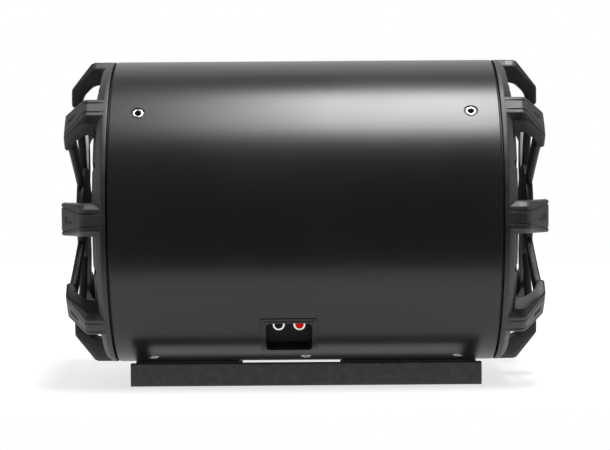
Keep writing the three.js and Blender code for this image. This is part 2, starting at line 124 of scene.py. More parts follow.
def turned(name, profile, side=1, turns=160, place=tube_axis, sharp=35):
    """A closed profile of (along, radius) in millimetres turned about X: a point at angle a is
    (side along, radius sin a, radius cos a), then moved to its place."""
    along, radius = np.asarray(profile, float).T / 1000
    angle = np.linspace(0, 2 * pi, turns, endpoint=False)
    x = np.repeat(side * along[:, None], turns, 1)
    points = np.stack([x, np.outer(radius, np.sin(angle)), np.outer(radius, np.cos(angle))], -1)
    piece = closed_piece(name, points.reshape(-1, 3), grid_faces(len(along), turns), sharp, merge=True)
    piece.data.transform(place)
    return piece


def carved(piece, tools, operation="DIFFERENCE", sharp=35):
    """The piece with each tool cut away from it, or joined to it, and the tools removed."""
    for tool in tools:
        step = piece.modifiers.new(tool.name, "BOOLEAN")
        step.solver, step.operation, step.object = "MANIFOLD", operation, tool
    ready = piece.evaluated_get(bpy.context.evaluated_depsgraph_get())
    piece.data = bpy.data.meshes.new_from_object(ready)
    piece.modifiers.clear()
    for tool in tools:
        bpy.data.objects.remove(tool)
    return shaded(piece, sharp)


def tube_frame(x, degrees, radius=tube_radius):
    """Where a thing sits on the tube: its Z points out, its Y runs up round the tube."""
    angle = radians(degrees)
    spot = (x, -radius * cos(angle), axis_height + radius * sin(angle))
    return Matrix.Translation(spot) @ Matrix.Rotation(pi / 2 - angle, 4, "X")


def slab(name, outline, low, high, place=Matrix.Identity(4), sharp=35):
    """An outline of (x, y) carried from one height to another along Z, in millimetres, then moved to
    its place: a point is (x, y, low or high)."""
    flat = np.asarray(outline, float) / 1000
    ends = [np.column_stack([flat, np.full(len(flat), level / 1000)]) for level in (low, high)]
    turn, shift = np.array(place.to_3x3()), np.array(place.translation)
    return closed_piece(name, np.vstack(ends) @ turn.T + shift, rod_faces(2, len(flat)), sharp)


def finish(name, colour, second, roughness, grain, bump, blotch=14, metallic=0.0, **sockets):
    """A surface whose colour and gloss wander slowly between two values, with a fine grain in relief.
    grain and blotch are the sizes of the two noises, in waves per metre; bump is the grain's height."""
    look = bpy.data.materials.new(name)
    look.use_nodes = True
    nodes, links = look.node_tree.nodes, look.node_tree.links
    shader = nodes["Principled BSDF"]
    where = nodes.new("ShaderNodeTexCoord").outputs["Object"]
    slow = nodes.new("ShaderNodeTexNoise")
    slow.inputs["Scale"].default_value = blotch
    slow.inputs["Detail"].default_value = 5
    fine = nodes.new("ShaderNodeTexNoise")
    fine.inputs["Scale"].default_value = grain
    fine.inputs["Detail"].default_value = 3
    for texture in (slow, fine):
        links.new(where, texture.inputs["Vector"])
    both = nodes.new("ShaderNodeMath")
    both.operation = "MULTIPLY_ADD"
    both.inputs[1].default_value = 0.35
    links.new(fine.outputs["Fac"], both.inputs[0])
    links.new(slow.outputs["Fac"], both.inputs[2])
    tint = nodes.new("ShaderNodeValToRGB")
    tint.color_ramp.elements[0].position, tint.color_ramp.elements[1].position = 0.45, 0.85
    tint.color_ramp.elements[0].color = (*colour, 1)
    tint.color_ramp.elements[1].color = (*second, 1)
    links.new(both.outputs[0], tint.inputs["Fac"])
    links.new(tint.outputs["Color"], shader.inputs["Base Color"])
    gloss = nodes.new("ShaderNodeMapRange")
    gloss.inputs["From Min"].default_value, gloss.inputs["From Max"].default_value = 0.45, 0.9
    gloss.inputs["To Min"].default_value, gloss.inputs["To Max"].default_value = roughness
    links.new(both.outputs[0], gloss.inputs["Value"])
    links.new(gloss.outputs["Result"], shader.inputs["Roughness"])
    relief = nodes.new("ShaderNodeBump")
    relief.inputs["Strength"].default_value = 0.6
    relief.inputs["Distance"].default_value = bump
    links.new(fine.outputs["Fac"], relief.inputs["Height"])
    links.new(relief.outputs["Normal"], shader.inputs["Normal"])
    shader.inputs["Metallic"].default_value = metallic
    for socket, value in sockets.items():
        shader.inputs[socket.replace("_", " ")].default_value = value
    return look


def dress(piece, look, body, slot, *nodes):
    """Gives a piece its material and the body that it rides on, and hides the nodes it stands for. Its slot
    is not used.
    """
    piece.data.materials.clear()
    piece.data.materials.append(look)
    if body:
        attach(piece, body)
    if nodes:
        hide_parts(*nodes)
    return piece


inserts = {
    "upper_left_insert": (-0.1587, 42),
    "upper_right_insert": (0.1587, 42),
    "lower_left_insert": (-0.150, -71),
    "lower_middle_insert": (0.0, -71),
    "lower_right_insert": (0.150, -71),
}
cup_x, cup_degrees = -0.0163, -51.8
cup_place = tube_frame(cup_x, cup_degrees)
out_to_z = Matrix.Rotation(-pi / 2, 4, "Y")

# The skin has cross lines all along, so that no face beside a seat or the slot is long and thin.
wall, stations = 8, 62
half, outer_radius = tube_half * 1000, tube_radius * 1000
steps = np.linspace(-half + 1, half - 1, stations)
skin_line = np.column_stack([steps, np.full(stations, outer_radius)])
inner_line = [[half, outer_radius - 1], [half, outer_radius - wall], [-half, outer_radius - wall]]
tube_profile = np.vstack([skin_line, inner_line, [[-half, outer_radius - 1]]])
tube = turned("tube_shell", tube_profile, turns=240)
drill = [[-14, 0], [-14, 4.5], [2, 4.5], [2, 0]]
seat = [[-1.2, 0], [-1.2, 5.95], [0, 7], [0.6, 7.3], [3, 7.3], [3, 0]]
holes = []
for x, degrees in inserts.values():
    place = tube_frame(x, degrees) @ out_to_z
    holes.append(turned("drill", drill, turns=40, place=place))
    holes.append(turned("countersink", seat, turns=48, place=place))
slot_outline = [[-24.6, -26.5], [24.6, -26.5], [24.6, 26.5], [-24.6, 26.5]]
holes.append(slab("cup_slot", slot_outline, -20, 8, cup_place))
carved(tube, holes, sharp=40)
tube_black = finish(
    "satin_black_skin", (0.008, 0.0081, 0.0083), (0.011, 0.0111, 0.0114), (0.29, 0.33),
    grain=1500, bump=0.00002, blotch=9, Specular_IOR_Level=0.43,
)
dress(tube, tube_black, "enclosure", "tube_skin", "tube")

# ---------------------------------------------------------------- thread inserts
# Nickel-plated M6 inserts pressed into the tube wall, their thin flanges sunk in shallow seats.
# Two above take a strap's screws, and three below could hold another bracket.
nickel = finish(
    "bright_nickel", (0.72, 0.70, 0.65), (0.82, 0.80, 0.76), (0.16, 0.30),
    grain=2600, bump=0.000006, blotch=220, metallic=1.0,
)
# The thread and the thin plug that closes each bore take a near-black finish: painted shade inside the
# hole.
painted_bore_shade = finish(
    "thread_painted_shade", (0.012, 0.011, 0.010), (0.022, 0.020, 0.018), (0.5, 0.7),
    grain=2400, bump=0.00001, blotch=300,
)
half_pitch, crest, root = 0.5, 2.5, 2.85
thread = np.array([[-11.8 + half_pitch * k, root if k % 2 else crest] for k in range(22)])
thread_profile = np.vstack([[[-12, 2.98]], thread, [[-1.0, 2.98]]])
plug_profile = [[-12.6, 0], [-12.6, 3.1], [-12.05, 3.1], [-12.05, 0]]
flange_corners = [
    [-12, 3.0], [-0.9, 3.0], [-0.4, 3.3], [-0.15, 4.2],
    [-0.75, 5.65], [-0.9, 5.65], [-0.9, 4.2], [-12, 4.2],
]
flange_soft = [0.1, 0.3, 0.8, 1.2, 0.2, 0.1, 0.1, 0.1]
for name, (x, degrees) in inserts.items():
    place = tube_frame(x, degrees) @ out_to_z
    insert = turned(f"{name}_flange", rounded(flange_corners, flange_soft, 4), turns=64, place=place)
    dress(insert, nickel, "enclosure", "nickel", name)
    sleeve = turned(f"{name}_thread", thread_profile, turns=48, place=place, sharp=20)
    dress(sleeve, painted_bore_shade, "enclosure", "nickel")
    shade_plug = turned(f"{name}_backing", plug_profile, turns=32, place=place)
    dress(shade_plug, painted_bore_shade, "enclosure", "nickel")

# ---------------------------------------------------------------- end guards
# One glass-filled nylon moulding for each end: a ring that covers the tube's edge, eight bent arms
# with a panel line on their faces, and dished spokes that meet at a hub in front of the cone.
guard_black = finish(
    "textured_nylon", (0.012, 0.0122, 0.0127), (0.027, 0.0274, 0.0285), (0.42, 0.56),
    grain=1500, bump=0.00012, blotch=70, Specular_IOR_Level=0.5,
)
# The arms' and spokes' sides take a smoother finish that is also darker: the smoothness is the moulding's,
# the darker colour is painted shade.
guard_side_painted_shade = finish(
    "smooth_nylon_painted_shade", (0.011, 0.0112, 0.0117), (0.017, 0.0173, 0.018), (0.36, 0.48),
    grain=1800, bump=0.00003, blotch=60, Specular_IOR_Level=0.5,
)
arm_stations = np.array([
    # outer x, r      inner x, r     half  face  bevel line groove pocket root
    [190.0, 149.9, 190.0, 128.6, 15.5, 10.4, 5.2, 6.0, 0.0, 0.0, 15.5],
    [199.0, 149.9, 199.0, 128.4, 15.5, 10.4, 5.2, 6.0, 0.9, 0.0, 15.5],
    [208.5, 149.9, 205.5, 128.0, 15.5, 10.4, 5.2, 6.0, 0.9, 0.0, 15.5],
    [211.8, 148.6, 208.8, 127.4, 15.5, 10.6, 5.0, 6.2, 0.9, 0.0, 15.5],
    [215.0, 144.6, 211.8, 126.4, 15.5, 11.6, 4.2, 7.2, 0.9, 0.0, 15.5],
    [219.5, 138.9, 214.6, 124.2, 15.5, 12.6, 3.2, 8.6, 0.9, 0.0, 15.5],
    [221.0, 137.0, 215.6, 123.4, 15.5, 13.0, 2.8, 9.2, 0.9, 1.4, 15.5],
    [226.5, 130.0, 218.6, 120.4, 15.5, 14.2, 1.4, 10.6, 0.9, 1.4, 15.5],
    [228.0, 128.1, 219.6, 119.4, 15.5, 14.4, 1.2, 11.0, 0.9, 0.0, 15.5],
    [230.6, 124.8, 221.0, 117.2, 15.5, 14.5, 1.0, 11.2, 0.9, 0.0, 15.5],
    [231.4, 122.6, 221.9, 115.2, 15.5, 14.5, 1.0, 11.2, 0.9, 0.0, 15.2],
    [231.5, 115.0, 222.6, 112.0, 15.5, 14.5, 1.0, 11.2, 0.9, 0.0, 15.0],
    [231.5, 108.6, 223.4, 108.6, 15.5, 14.5, 1.0, 11.0, 0.6, 0.0, 14.8],
    [231.0, 106.8, 223.3, 106.8, 15.0, 13.8, 1.2, 9.0, 0.4, 0.0, 14.2],
    [229.6, 104.6, 223.0, 104.6, 9.8, 8.6, 1.2, 5.4, 0.7, 0.0, 9.2],
    [228.6, 92.0, 221.8, 92.0, 8.8, 7.6, 1.2, 4.8, 0.9, 0.0, 8.2],
    [226.6, 66.0, 219.8, 66.0, 7.6, 6.4, 1.2, 4.0, 0.9, 0.0, 7.0],
    [225.2, 45.0, 218.8, 45.0, 6.8, 5.6, 1.2, 3.4, 0.9, 0.0, 6.2],
    [225.0, 40.0, 218.8, 40.0, 6.5, 5.4, 1.2, 3.2, 0.0, 0.0, 5.9],
])


def arm_grid(between=5):
    """The arm as a grid of sections. A section is an outline of (t, d): t across the arm and d down from
    its face, with a pocket, a panel line, bevelled shoulders and straight sides. A point is
    outer + d (inner - outer) / |inner - outer|, and its height falls to sqrt(r^2 - t^2) off centre."""
    count = len(arm_stations)
    at = np.linspace(0, count - 1, (count - 1) * between + 1)
    rows = np.column_stack([np.interp(at, np.arange(count), column) for column in arm_stations.T])
    outer, inner = rows[:, :2], rows[:, 2:4]
    half, face, bevel, line, groove, pocket, root = rows[:, 4:].T
    deep = np.linalg.norm(inner - outer, axis=1)
    zero = np.zeros_like(half)
    side = [
        (zero + 2.6, pocket), (zero + 3.4, zero), (line - 0.8, zero), (line - 0.35, groove),
        (line + 0.35, groove), (line + 0.8, zero), (face, zero), (half, bevel), (root, deep),
    ]
    right = np.stack([np.stack(pair, -1) for pair in side], 1)
    left = right[:, ::-1] * [-1, 1]
    soft = np.array([0.3, 0.3, 0.25, 0.2, 0.2, 0.25, 0.8, 1.8, 1.6])
    section = rounded(np.concatenate([right, left], 1), np.concatenate([soft, soft[::-1]]), 3)
    down = (inner - outer) / deep[:, None]
    spot = outer[:, None, :] + section[..., 1:] * down[:, None, :]
    across = section[..., 0]
    height = np.sqrt(spot[..., 1] ** 2 - across**2)
    return np.stack([spot[..., 0], across, height], -1) / 1000


def guard_arm(side, turn):
    """One arm with its spoke: the grid's rows joined in rings, its two ends closed, turned about X."""
    grid = arm_grid()
    arm = closed_piece("arm", grid.reshape(-1, 3) * [side, 1, 1], rod_faces(*grid.shape[:2]), 35)
    arm.data.transform(tube_axis @ Matrix.Rotation(turn, 4, "X"))
    return arm


ring_corners = [
    [187.9, 149.9], [192.5, 149.9], [198, 145], [198, 134], [202, 130], [202, 122.3],
    [190.6, 122.3], [190.6, 134], [186.3, 134], [186.3, 141.5], [187.9, 141.5],
]
ring_soft = [0.5, 1.2, 1.2, 1.0, 1.2, 1.4, 0.3, 0.3, 0.3, 0.3, 0.3]
hub_corners = [[218.5, 0], [218.5, 45], [225.5, 45], [225.5, 36.3], [223.9, 36.3], [223.9, 0]]
hub_soft = [0, 1.2, 1.4, 0.3, 0.3, 0]
arm_count, screw_circle = 8, 0.128
screw_turns = [(k + 0.5) * 2 * pi / arm_count for k in range(arm_count)]
clearance = [[180, 0], [180, 2.8], [196, 2.8], [196, 0]]
counterbore = [[193.4, 0], [193.4, 5.0], [204, 5.0], [204, 0]]


def bolt_place(turn):
    """The place of a screw on the ring, its axis still along X."""
    return tube_axis @ Matrix.Rotation(turn, 4, "X") @ Matrix.Translation((0, 0, screw_circle))


def per_face(piece, what):
    """The "center" or "normal" of every face of a piece, as rows of (x, y, z)."""
    rows = np.empty(len(piece.data.polygons) * 3)
    piece.data.polygons.foreach_get(what, rows)
    return rows.reshape(-1, 3)


def second_finish(piece, look, chosen):
    """Gives a second finish to the chosen faces of a piece."""
    piece.data.materials.append(look)
    piece.data.polygons.foreach_set("material_index", chosen.astype(np.int32))


def smooth_sides_painted_shade(guard):
    """Which faces look round the tube, out past its end: those with |normal . tangent| > 0.45, where the
    tangent at (y, z) about the tube's axis is (z, -y) / sqrt(y^2 + z^2)."""
    spots, normals = per_face(guard, "center"), per_face(guard, "normal")
    y, z = spots[:, 1], spots[:, 2] - axis_height
    across = np.abs(normals[:, 1] * z - normals[:, 2] * y) > 0.45 * np.hypot(y, z)
    return across & (np.abs(spots[:, 0]) >= 0.2)


for side, end in ((-1, "woofer"), (1, "radiator")):
    guard = turned(f"{end}_end_guard", rounded(ring_corners, ring_soft, 3), side, turns=240)
    hub = turned("hub", rounded(hub_corners, hub_soft, 3), side, turns=96)
    arms = [guard_arm(side, k * 2 * pi / arm_count) for k in range(arm_count)]
    carved(guard, [hub, *arms], "UNION")
    bores = [
        turned("bore", profile, side, turns=32, place=bolt_place(turn))
        for turn in screw_turns
        for profile in (clearance, counterbore)
    ]
    carved(guard, bores, sharp=30)
    dress(guard, guard_black, "enclosure", "guard_plastic", f"{end}_guard")
    # Painted shade: the faces that look round the tube get the darker side finish.
    second_finish(guard, guard_side_painted_shade, smooth_sides_painted_shade(guard))

# ---------------------------------------------------------------- hub badges
# Plain satin grey discs bonded into the hubs, with a raised rim and a ring pressed in their face.
badge_grey = finish(
    "satin_grey_badge", (0.16, 0.165, 0.17), (0.21, 0.215, 0.22), (0.30, 0.42),
    grain=1800, bump=0.00002, blotch=40, metallic=0.6,
)
badge_corners = [
    [224.2, 0], [224.2, 36], [226.0, 36], [226.5, 34.4], [226.2, 33.2], [226.6, 30], [227.0, 22],
    [226.7, 21.4], [226.7, 20.2], [227.1, 19.6], [227.5, 9], [227.6, 0],
]
for side, end in ((-1, "woofer"), (1, "radiator")):
    badge = turned(f"{end}_hub_badge", rounded(badge_corners, 0.3, 2), side, turns=96)
    dress(badge, badge_grey, "enclosure", "badge_plate", f"{end}_badge")

# ---------------------------------------------------------------- guard screws
# Sixteen zinc-plated socket screws: each passes the guard and the driver's frame into the baffle.
# Their heads sit in counterbores in the ring, halfway between the arms.
zinc = finish(
    "zinc_plate", (0.42, 0.43, 0.44), (0.56, 0.57, 0.58), (0.26, 0.42),
    grain=1600, bump=0.00001, blotch=90, metallic=1.0,
)
black_zinc = finish(
    "black_zinc", (0.05, 0.051, 0.053), (0.09, 0.091, 0.094), (0.30, 0.46),
    grain=1600, bump=0.00001, blotch=120, metallic=0.9,
)
screw_corners = [[172.5, 0], [175, 2.4], [193.7, 2.4], [193.7, 4.6], [196.9, 4.6], [196.9, 0]]
screw_profile = rounded(screw_corners, [0, 0.3, 0, 0.2, 0.8, 0], 3)
socket_corners = [[194.8, 0], [194.8, 2.6], [198, 2.6], [198, 0]]
for side, end in ((-1, "woofer"), (1, "radiator")):
    for number, turn in enumerate(screw_turns, 1):
        place = bolt_place(turn)
        # The woofer end is the radiator end turned half round, so its numbers run the other way.
        node = f"{end}_screw_{number if side > 0 else 9 - number}"
        screw = turned(f"{node}_socket", screw_profile, side, 40, place)
        key = turned("key", socket_corners, side, 6, place)
        carved(screw, [key], sharp=30)
        dress(screw, black_zinc, "enclosure", "zinc", node)

# ---------------------------------------------------------------- baffles
# Rings of medium-density fibreboard, glued inside the tube's two ends. The drivers seat on them,
# and the guard screws bite into their pilot holes.
board = finish(
    "fibreboard", (0.24, 0.155, 0.085), (0.36, 0.25, 0.15), (0.75, 0.9),
    grain=900, bump=0.0003, blotch=120,
)
baffle_corners = [[168, 118.5], [168, 141.7], [186, 141.7], [186, 118.5]]
pilot_corners = [[171.5, 0], [171.5, 2.8], [190, 2.8], [190, 0]]
for side, end in ((-1, "woofer"), (1, "radiator")):
    baffle = turned(f"{end}_baffle_ring", rounded(baffle_corners, 0.4, 2), side)
    pilots = [turned("pilot", pilot_corners, side, 24, bolt_place(turn)) for turn in screw_turns]
    carved(baffle, pilots)
    dress(baffle, board, "enclosure", "board", f"{end}_baffle")

# ---------------------------------------------------------------- driver frames
# Pressed-steel frames in black powder coat: the woofer's basket has six legs down to the motor,
# and the radiator needs only a short flanged ring.
powder = finish(
    "black_powder_coat", (0.015, 0.0153, 0.0152), (0.040, 0.0405, 0.0402), (0.44, 0.62),
    grain=520, bump=0.0004, blotch=160, Specular_IOR_Level=0.5,
)
basket_corners = [
    [190.3, 133.7], [186.3, 133.7], [186.3, 118.2], [171, 114.6], [123.5, 77], [123.5, 66],
    [108.9, 66], [108.9, 30], [111.9, 30], [111.9, 63.5], [126, 63.5], [126, 75.5],
    [172.5, 111.8], [188, 115.5], [190.3, 115.5],
]
basket = turned("woofer_basket_pressing", rounded(basket_corners, 0.6, 2), -1)
leg_outline = rounded([[134, -26], [164, -32], [164, 32], [134, 26]], 7, 5)
leg_count = 6
tools = []
for k in range(leg_count):
    turn = (k + 0.5) * 2 * pi / leg_count
    spin = tube_axis @ Matrix.Rotation(turn, 4, "X") @ Matrix.Scale(-1, 4, (1, 0, 0))
    tools.append(slab("leg_gap", leg_outline, 60, 130, spin))
flange_bore = [[180, 0], [180, 2.8], [195, 2.8], [195, 0]]
tools += [turned("flange_bore", flange_bore, -1, 24, bolt_place(turn)) for turn in screw_turns]
carved(basket, tools)
dress(basket, powder, "enclosure", "powder_coat", "woofer_basket")

frame_corners = [
    [190.3, 133.7], [186.3, 133.7], [186.3, 118.2], [171, 115.5], [171, 112.5], [188, 115.5],
    [190.3, 115.5],
]
radiator_ring = turned("radiator_frame_ring", rounded(frame_corners, 0.5, 2), 1)
carved(radiator_ring, [turned("flange_bore", flange_bore, 1, 24, bolt_place(turn)) for turn in screw_turns])
dress(radiator_ring, powder, "enclosure", "powder_coat", "radiator_frame")

# ---------------------------------------------------------------- cones and their caps
# Injection-moulded black cones with fine rings on their faces. The woofer's carries a dust cap,
# and the radiator's is a shallow dish with a steel weight bolted behind it.


def ringed(look, pitch, height):
    """Adds shallow rings round the tube's axis to a finish: a wave of the distance from that axis."""
    nodes, links = look.node_tree.nodes, look.node_tree.links
    centre = nodes.new("ShaderNodeMapping")
    centre.inputs["Location"].default_value = (0, 0, -axis_height)
    centre.inputs["Scale"].default_value = (0, 1, 1)
    links.new(nodes["Texture Coordinate"].outputs["Object"], centre.inputs["Vector"])
    rings = nodes.new("ShaderNodeTexWave")
    rings.wave_type, rings.rings_direction = "RINGS", "SPHERICAL"
    rings.inputs["Scale"].default_value = pi / 10 / pitch
    rings.inputs["Distortion"].default_value = 0
    links.new(centre.outputs["Vector"], rings.inputs["Vector"])
    relief = nodes.new("ShaderNodeBump")
    relief.inputs["Strength"].default_value = 0.5
    relief.inputs["Distance"].default_value = height
    links.new(rings.outputs["Fac"], relief.inputs["Height"])
    links.new(nodes["Bump"].outputs["Normal"], relief.inputs["Normal"])
    links.new(relief.outputs["Normal"], nodes["Principled BSDF"].inputs["Normal"])
    return look


cone_black = ringed(finish(
    "moulded_cone", (0.012, 0.012, 0.013), (0.020, 0.020, 0.021), (0.36, 0.48),
    grain=900, bump=0.00004, blotch=30, Specular_IOR_Level=0.5,
), pitch=0.0035, height=0.00025)
cap_black = finish(
    "pressed_cap", (0.014, 0.014, 0.015), (0.024, 0.024, 0.025), (0.30, 0.42),
    grain=1500, bump=0.00003, blotch=26, Specular_IOR_Level=0.5,
)
# The cone's wall flares a little faster behind than in front, so it is thickest at its root.
flare = np.linspace(0, 1, 14)
front = np.column_stack([151 + 36.4 * flare**1.15, 26.6 + 70.7 * flare])
rear = np.column_stack([185.1 - 36.6 * flare**0.88, 98.4 - 71.2 * flare])
cone_line = np.vstack([
    [[147.6, 25.6], [150.3, 25.6]], front, [[187.6, 98.6], [187.6, 101], [186, 101]], rear, [[147.6, 27]],
])
cone = turned("woofer_cone_shell", cone_line, -1)
dress(cone, cone_black, "woofer_cone_assembly", "cone_black", "woofer_cone")

dome_middle, dome_outside, dome_inside = 96.8, 78.4, 77
lean = np.radians(np.linspace(35, 0, 12))
dome = np.column_stack([dome_middle + dome_outside * np.cos(lean), dome_outside * np.sin(lean)])
lean = lean[::-1]
under = np.column_stack([dome_middle + dome_inside * np.cos(lean), dome_inside * np.sin(lean)])
cap = turned("woofer_dust_cap_dome", np.vstack([dome, under]), -1, turns=128)
dress(cap, cap_black, "woofer_cone_assembly", "cone_black", "woofer_dust_cap")

dish_front = [[187.6, 101], [187.6, 97.5], [179, 72], [176.6, 45], [178.4, 24], [179, 0]]
dish_back = [[176.6, 0], [176, 24], [174.2, 45], [176.6, 73], [185.4, 99], [186, 101]]
dish_soft = [0.3, 1.5, 12, 9, 9, 0, 0, 9, 9, 12, 1, 0.3]
dish = turned("radiator_dish", rounded(dish_front + dish_back, dish_soft, 6), 1)
dress(dish, cone_black, "radiator_assembly", "cone_black", "radiator_diaphragm")

weight_corners = [[162, 0], [162, 5], [166, 5], [166, 30], [173.4, 30], [173.4, 0]]
weight = turned("radiator_weight_disc", rounded(weight_corners, [0, 0.6, 0.3, 1, 1, 0], 3), 1, turns=96)
dress(weight, zinc, "radiator_assembly", "zinc", "radiator_weight")

# ---------------------------------------------------------------- surrounds and spider
# Half-roll butyl rubber surrounds join the cones to their frames, and a corrugated, resin-dipped
# cloth spider centres the voice coil. They stay where they are built and ride on no body.
rubber = finish(
    "butyl_rubber", (0.010, 0.010, 0.0105), (0.018, 0.018, 0.0185), (0.55, 0.72),
    grain=1100, bump=0.00005, blotch=50, Specular_IOR_Level=0.35,
)


def travels(piece):
    """Bakes the piece's place into its points and reads their positions, which are not used further."""
    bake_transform(piece)
    count = len(piece.data.vertices)
    spots = np.empty(count * 3)
    piece.data.vertices.foreach_get("co", spots)
    spots = spots.reshape(-1, 3)


roll_x, roll_radius, roll_outside, roll_inside = 190.9, 109.3, 8.4, 7.1
sweep = np.radians(np.linspace(0, 172, 20))
roll_top = np.column_stack([
    roll_x + roll_outside * np.sin(sweep), roll_radius - roll_outside * np.cos(sweep),
])
sweep = np.radians(np.linspace(0, 180, 20))
roll_under = np.column_stack([
    roll_x + roll_inside * np.sin(sweep), roll_radius + roll_inside * np.cos(sweep),
])
surround_line = np.vstack([
    [[187.9, 97.8], [189.0, 97.8], [189.2, 98.2], [189.2, 100.4], [189.8, 100.9]],
    roll_top, [[192, 121.4], [191.7, 121.8], [190.6, 121.8]], roll_under, [[187.9, 102.2]],
])
for side, end, moving in ((-1, "woofer", "woofer_cone_assembly"), (1, "radiator", "radiator_assembly")):
    surround = turned(f"{end}_surround_roll", surround_line, side)
    travels(surround)
    dress(surround, rubber, None, "rubber", f"{end}_surround")

cloth = ringed(finish(
    "dipped_cloth", (0.46, 0.29, 0.11), (0.60, 0.41, 0.18), (0.7, 0.85),
    grain=1400, bump=0.0002, blotch=70,
), pitch=0.0008, height=0.0002)
cloth_face, cloth_back = 126.3, 127.1
corrugation_height, corrugations = 1.6, 3
first_corrugation, last_corrugation = 31, 61
out = np.linspace(0, 1, 73)
wave = corrugation_height * np.sin(corrugations * 2 * pi * out)
wavy = first_corrugation + (last_corrugation - first_corrugation) * out
spider_line = np.vstack([
    [[cloth_face, 26.2]], np.column_stack([cloth_face + wave, wavy]), [[cloth_face, 73], [cloth_back, 73]],
    np.column_stack([cloth_back + wave, wavy])[::-1], [[cloth_back, 26.2]],
])
spider = turned("woofer_spider_cloth", spider_line, -1, turns=96, sharp=60)
travels(spider)
dress(spider, cloth, None, "spider_cloth", "woofer_spider")

# ---------------------------------------------------------------- motor
# A ferrite ring magnet between a zinc-plated top plate and a back plate with a vented pole. The
# voice coil, four layers of enamelled copper on an aluminium former, hangs in the gap.
ferrite = finish(
    "ground_ferrite", (0.045, 0.045, 0.048), (0.075, 0.075, 0.08), (0.55, 0.75),
    grain=700, bump=0.0001,
)
copper = ringed(finish(
    "enamelled_copper", (0.40, 0.14, 0.05), (0.52, 0.20, 0.08), (0.25, 0.4),
    grain=1500, bump=0.00002, blotch=60, metallic=0.9,
), pitch=0.001, height=0.0001)
motor = {
    "woofer_top_plate": (zinc, "zinc", [[100.6, 26.6], [100.6, 70], [108.6, 70], [108.6, 26.6]]),
    "woofer_magnet": (ferrite, "ferrite", [[78.3, 32], [78.3, 75], [100.3, 75], [100.3, 32]]),
    "woofer_back_plate": (zinc, "zinc", [
        [66, 10], [66, 70], [78, 70], [78, 24], [112, 24], [112, 10],
    ]),
}
for node, (look, slot, corners) in motor.items():
    part = turned(f"{node}_turned", rounded(corners, 1.0, 3), -1, turns=128)
    dress(part, look, "enclosure", slot, node)
wound = [
    [92, 24.7], [92, 25.3], [93, 25.3], [93, 25.9], [115, 25.9], [115, 25.3], [149, 25.3], [149, 24.7],
]
coil = turned("woofer_coil_and_former", rounded(wound, 0.15, 2), -1, turns=128)
dress(coil, copper, "woofer_cone_assembly", "coil_copper", "woofer_voice_coil")

# ---------------------------------------------------------------- terminal cup
# A black moulding let into the tube low on the rear side: a thin curved bezel, and a recess whose
# upper panel leans back so that the push posts point up and out to the hand.
cup_skin = finish(
    "moulded_bezel", (0.007, 0.0071, 0.0073), (0.011, 0.0111, 0.0114), (0.33, 0.40),
    grain=1900, bump=0.00004, blotch=70, Specular_IOR_Level=0.43,
)
# The recess takes a darker, less glossy copy of the bezel's finish: the darker colour is painted shade in
# the hollow.
recess_painted_shade = finish(
    "moulded_recess_painted_shade", (0.004, 0.0041, 0.0042), (0.007, 0.0071, 0.0073), (0.40, 0.52),
    grain=1900, bump=0.00004, blotch=70, Specular_IOR_Level=0.16,
)
recess_outline = [[-24.2, 8], [-24.2, -10.5], [-17.1, -13.5], [20, -38.8], [24.2, -36], [24.2, 8]]
shell_outline = [[-26.2, 4], [-26.2, -12.5], [-18.3, -15.9], [19.4, -41.6], [26.2, -37.5], [26.2, 4]]
along_x = Matrix(((0, 0, 1, 0), (1, 0, 0, 0), (0, 1, 0, 0), (0, 0, 0, 1)))


def block(width, height):
    """The four corners of an upright rectangle about the middle."""
    a, b = width / 2, height / 2
    return [[-a, -b], [a, -b], [a, b], [-a, b]]


across = Matrix.Translation((cup_x, 0, axis_height))
skin_corners = [[-28, 149.7], [-28, 150.7], [28, 150.7], [28, 149.7]]
skin_soft = [0.1, 0.4, 0.4, 0.1]
bezel = turned("terminal_cup_moulding", rounded(skin_corners, skin_soft, 4), turns=360, place=across)
frame_block = slab("frame_block", rounded(block(56, 59), 5, 6), -12, 6, cup_place)
carved(bezel, [frame_block], "INTERSECT")
body = slab("cup_body", shell_outline, -24.3, 24.3, cup_place @ along_x)
barrel = turned("barrel", [[-30, 0], [-30, 151.3], [30, 151.3], [30, 0]], turns=360, place=across)
carved(body, [barrel], "INTERSECT")
carved(bezel, [body], "UNION")
recess = slab("recess", recess_outline, -22.3, 22.3, cup_place @ along_x)
mouth = slab("mouth", rounded(block(44.6, 48.4), 6, 6), -45, 9, cup_place)
carved(recess, [mouth], "INTERSECT")
panel_lean, post_offset = radians(34.3), 0.0101
post_axis = Vector((0, sin(panel_lean), cos(panel_lean)))
lean_back = Vector((1, 0, 0)).rotation_difference(post_axis).to_matrix().to_4x4()
post_frames = {
    word: cup_place @ Matrix.Translation((side * post_offset, -0.0033, -0.0229)) @ lean_back
    for word, side in (("black", -1), ("red", 1))
}
stem_holes = [
    turned("stem_hole", [[-9, 0], [-9, 3.7], [4, 3.7], [4, 0]], turns=32, place=place)
    for place in post_frames.values()
]
carved(bezel, [recess, *stem_holes], sharp=30)
soften = bezel.modifiers.new("moulded_edges", "BEVEL")
soften.width, soften.segments, soften.angle_limit = 0.0003, 2, radians(40)
soften.use_clamp_overlap = True
dress(bezel, cup_skin, "enclosure", "guard_plastic", "terminal_cup")
# Faces deeper than the skin get the darker finish, as painted shade in the recess.
spots = per_face(bezel, "center")
sunk = np.hypot(spots[:, 1], spots[:, 2] - axis_height) < tube_radius - 0.0008
second_finish(bezel, recess_painted_shade, sunk)

# ---------------------------------------------------------------- push posts
# Spring-loaded posts: a nickel cap with a coloured centre slides on a fixed stem, and a steel
# spring under it closes the wire hole again. The cap travels 3.5 mm.
post_red = finish(
    "red_marker", (0.95, 0.0, 0.0005), (0.98, 0.0, 0.001), (0.4, 0.5),
    grain=1800, bump=0.00001, blotch=150, Specular_IOR_Level=0.1,
)
post_black = finish(
    "black_marker", (0.004, 0.004, 0.0045), (0.008, 0.008, 0.0085), (0.5, 0.6),
    grain=1800, bump=0.00001, blotch=150, Specular_IOR_Level=0.12,
)


